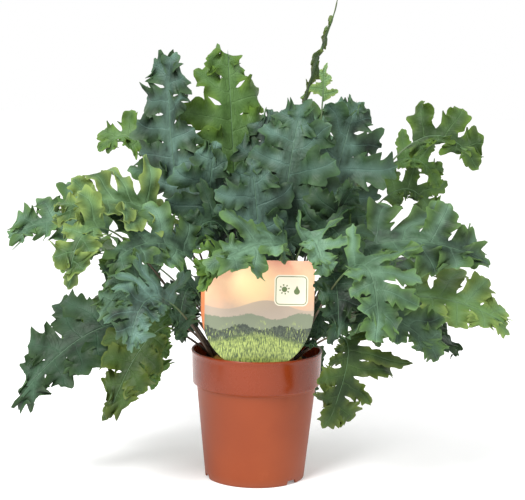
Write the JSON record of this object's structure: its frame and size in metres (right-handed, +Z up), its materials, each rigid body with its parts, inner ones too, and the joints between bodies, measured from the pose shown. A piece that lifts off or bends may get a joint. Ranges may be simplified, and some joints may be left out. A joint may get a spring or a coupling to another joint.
{
  "type": "potted fern",
  "caption": "Polypody fern with wide ruffled blue-green fronds on thin stalks, growing from creeping rhizomes in a tapered plastic grower's pot with a plant label",
  "frame": {"origin": "centre of the pot's floor, on the surface that the pot stands on", "axes": "+Z up along the pot's axis; -Y towards the viewer, where the plant label faces; +X to the viewer's right"},
  "size_m": [0.4524, 0.3399, 0.4341],
  "materials": {
    "pot_plastic": "satin terracotta-coloured moulded plastic",
    "potting_soil": "dark crumbly potting soil",
    "label_card": "coated printed card",
    "rhizome": "golden-brown scaly rhizome",
    "leaf_glaucous": "smooth living leaf with a slight bloom",
    "leaf_sea_green": "smooth living leaf with a slight bloom",
    "leaf_green": "smooth living leaf with a slight bloom",
    "leaf_pale_green": "smooth living leaf with a slight bloom",
    "leaf_dark_green": "smooth living leaf with a slight bloom",
    "leaf_olive": "smooth living leaf with a slight bloom"
  },
  "bodies": {
    "root": {"frond_back_hanging": "leaf_dark_green", "frond_back_high_left": "leaf_sea_green", "frond_back_high_right": "leaf_green", "frond_back_left": "leaf_green", "frond_back_low": "leaf_dark_green", "frond_back_low_left": "leaf_sea_green", "frond_back_low_right": "leaf_green", "frond_back_middle": "leaf_glaucous", "frond_back_right": "leaf_sea_green", "frond_centre_front": "leaf_sea_green", "frond_centre_upright": "leaf_glaucous", "frond_curl_right": "leaf_green", "frond_curl_right_low": "leaf_green", "frond_far_left": "leaf_dark_green", "frond_far_right": "leaf_pale_green", "frond_fill_low_left": "leaf_dark_green", "frond_fill_low_right": "leaf_dark_green", "frond_hang_far_right": "leaf_green", "frond_hang_right": "leaf_olive", "frond_inner_back_left": "leaf_green", "frond_inner_back_right": "leaf_sea_green", "frond_inner_left": "leaf_dark_green", "frond_inner_right": "leaf_dark_green", "frond_juvenile": "leaf_pale_green", "frond_left_back_curl": "leaf_green", "frond_left_fill": "leaf_sea_green", "frond_left_light": "leaf_pale_green", "frond_left_light_low": "leaf_pale_green", "frond_left_low_big": "leaf_dark_green", "frond_left_mid": "leaf_sea_green", "frond_left_of_label": "leaf_dark_green", "frond_left_side": "leaf_green", "frond_left_upright": "leaf_glaucous", "frond_low_left_mid": "leaf_green", "frond_middle_right": "leaf_dark_green", "frond_olive_low": "leaf_olive", "frond_over_label_left": "leaf_green", "frond_over_label_right": "leaf_sea_green", "frond_pale_blue": "leaf_glaucous", "frond_right_big": "leaf_sea_green", "frond_right_fill": "leaf_dark_green", "frond_right_front": "leaf_sea_green", "frond_right_low": "leaf_dark_green", "frond_right_of_label": "leaf_dark_green", "frond_right_side": "leaf_dark_green", "frond_rim_right": "leaf_dark_green", "frond_spiky_left": "leaf_glaucous", "frond_top_middle": "leaf_glaucous", "frond_top_right": "leaf_glaucous", "frond_upright_blue": "leaf_glaucous", "frond_upright_green": "leaf_green", "frond_wiry": "leaf_olive", "plant_label": "label_card", "pot": "pot_plastic", "rhizome_1": "rhizome", "rhizome_2": "rhizome", "rhizome_3": "rhizome", "rhizome_4": "rhizome", "rhizome_5": "rhizome", "soil": "potting_soil"}
  },
  "joints": []
}
